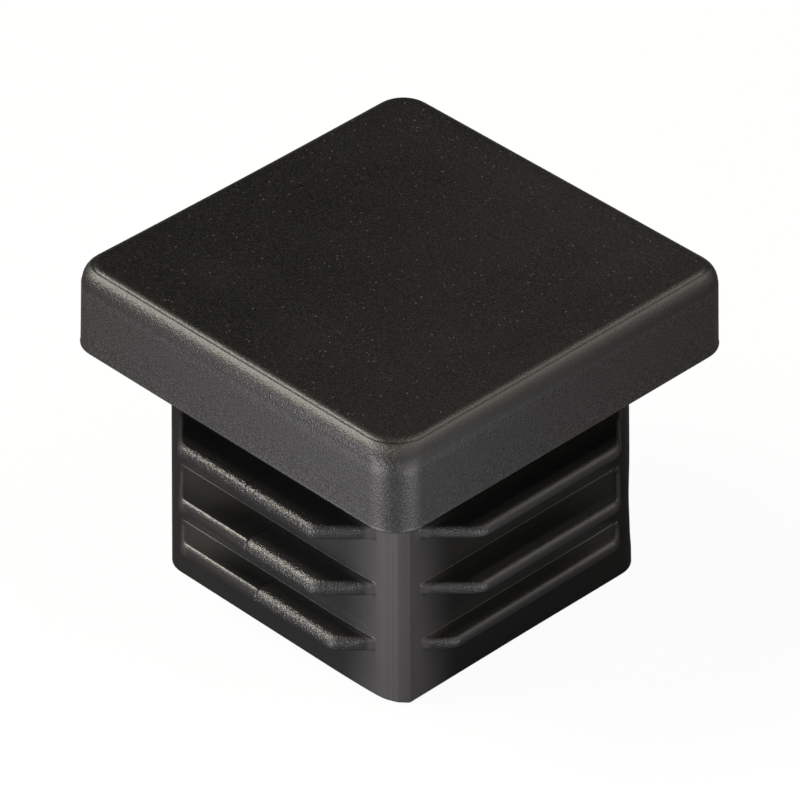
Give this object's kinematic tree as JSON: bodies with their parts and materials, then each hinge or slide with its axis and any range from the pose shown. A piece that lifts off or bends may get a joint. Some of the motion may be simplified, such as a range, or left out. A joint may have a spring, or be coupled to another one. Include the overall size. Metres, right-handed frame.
{
  "type": "square tube end cap",
  "caption": "Square ribbed end cap that presses into a square tube: a thick rounded head on a hollow sleeve with flexible grip fins.",
  "frame": {"origin": "centre of the head's underside, in the plane of the tube's cut end", "axes": "+Z along the tube's axis, out of the tube towards the crown; X and Y square to the head's sides, and the mould parts on the plane x = 0"},
  "size_m": [0.025, 0.025, 0.0195],
  "materials": {
    "black_polyethylene": "fine spark-eroded grain, satin on the rounded edges"
  },
  "bodies": {
    "root": {"tube_end_cap": "black_polyethylene"}
  },
  "joints": []
}
